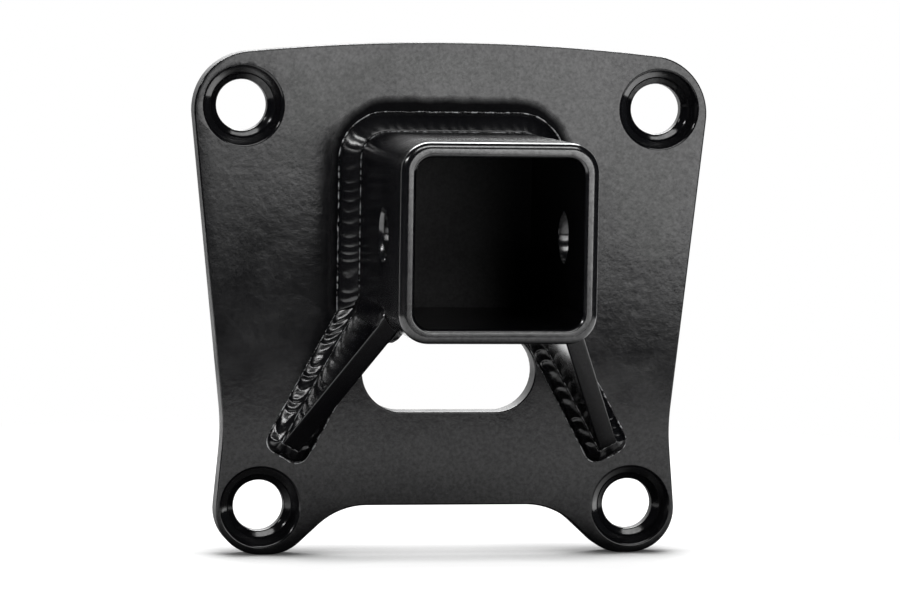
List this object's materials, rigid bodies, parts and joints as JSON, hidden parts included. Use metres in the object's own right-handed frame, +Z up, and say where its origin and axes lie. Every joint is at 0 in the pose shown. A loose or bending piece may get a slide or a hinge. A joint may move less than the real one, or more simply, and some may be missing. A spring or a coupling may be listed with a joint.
{
  "type": "receiver hitch",
  "caption": "Bolt-on receiver hitch: a cut and countersunk steel plate carrying a welded square receiver tube with cross pin holes, braced by gussets.",
  "frame": {"origin": "on the plate's back face, on the axis of the receiver tube", "axes": "+X across the plate to the right as seen from the mouth, +Y out of the plate's back towards the vehicle, +Z up; the tube's mouth faces -Y"},
  "size_m": [0.1732, 0.0984, 0.171],
  "materials": {
    "powder_coat": "black powder coat over steel, semi-gloss with a fine orange peel",
    "coated_weld": "black powder coat over rippled weld beads, gloss"
  },
  "bodies": {
    "root": {"mounting_plate": "powder_coat", "receiver_tube": "powder_coat", "gusset_left": "powder_coat", "gusset_right": "powder_coat", "weld_tube_top": "coated_weld", "weld_tube_left": "coated_weld", "weld_tube_right": "coated_weld", "weld_gusset_left_outer": "coated_weld", "weld_gusset_left_nose": "coated_weld", "weld_gusset_left_inner": "coated_weld", "weld_gusset_right_outer": "coated_weld", "weld_gusset_right_nose": "coated_weld", "weld_gusset_right_inner": "coated_weld", "weld_corner_left_outer": "coated_weld", "weld_corner_left_inner": "coated_weld", "weld_corner_right_outer": "coated_weld", "weld_corner_right_inner": "coated_weld"}
  },
  "joints": []
}
